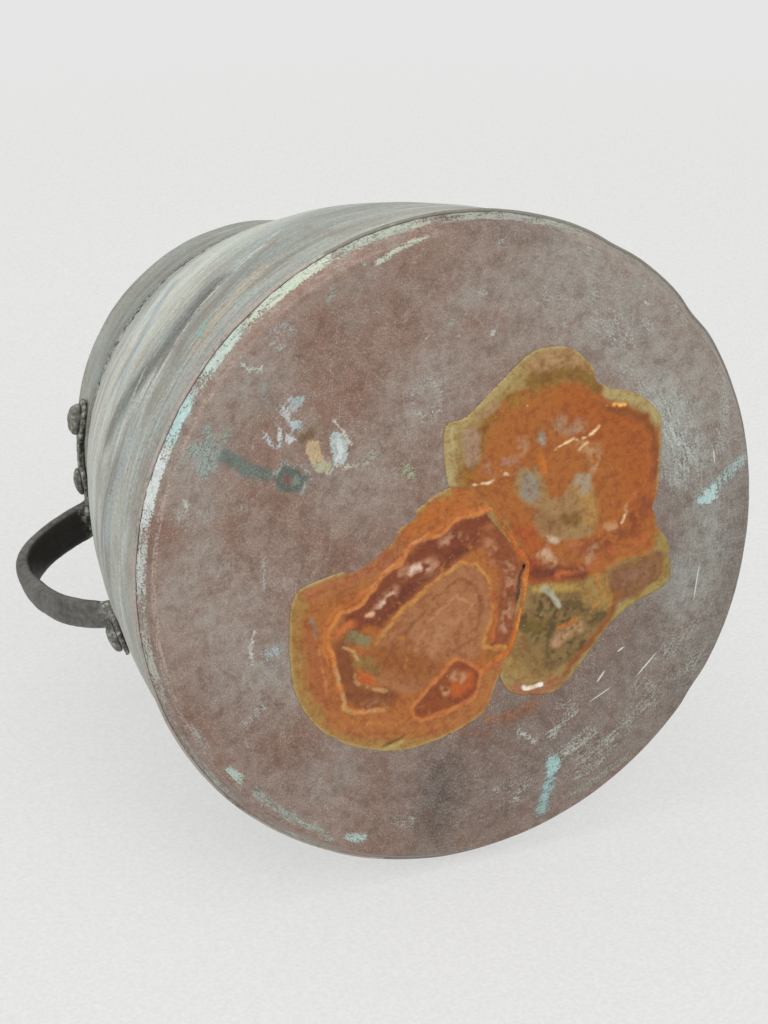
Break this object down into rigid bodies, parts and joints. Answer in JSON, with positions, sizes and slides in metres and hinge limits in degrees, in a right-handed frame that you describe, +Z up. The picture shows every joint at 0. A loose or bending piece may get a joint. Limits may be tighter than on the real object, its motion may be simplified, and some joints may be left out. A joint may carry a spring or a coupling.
{
  "type": "copper pot",
  "caption": "Wide-based tapering copper pot with a joined neck band, a let-in and repaired base, and two riveted forged ear handles.",
  "frame": {"origin": "centre of the resting ring under the base, on the pot's axis", "axes": "+Z up along the pot's axis through the mouth, +X through the right handle; the pictured handle is on -X"},
  "size_m": [0.2638, 0.25, 0.2036],
  "materials": {
    "copper_wall": "grey-green patinated copper",
    "copper_base": "mauve-brown patinated copper",
    "copper_neck": "olive-grey patinated copper",
    "resin": "glossy amber repair resin",
    "iron": "dark pitted forged iron"
  },
  "bodies": {
    "root": {"body_wall": "copper_wall", "base_pan": "copper_base", "neck_band": "copper_neck", "resin_patch_large": "resin", "resin_patch_small": "resin", "handle_right": "iron", "handle_left": "iron", "rivet_right_neck_outer_a": "iron", "rivet_right_neck_inner_a": "iron", "rivet_right_neck_inner_b": "iron", "rivet_right_neck_outer_b": "iron", "rivet_right_wall": "iron", "rivet_left_neck_outer_a": "iron", "rivet_left_neck_inner_a": "iron", "rivet_left_neck_inner_b": "iron", "rivet_left_neck_outer_b": "iron", "rivet_left_wall": "iron"}
  },
  "joints": []
}
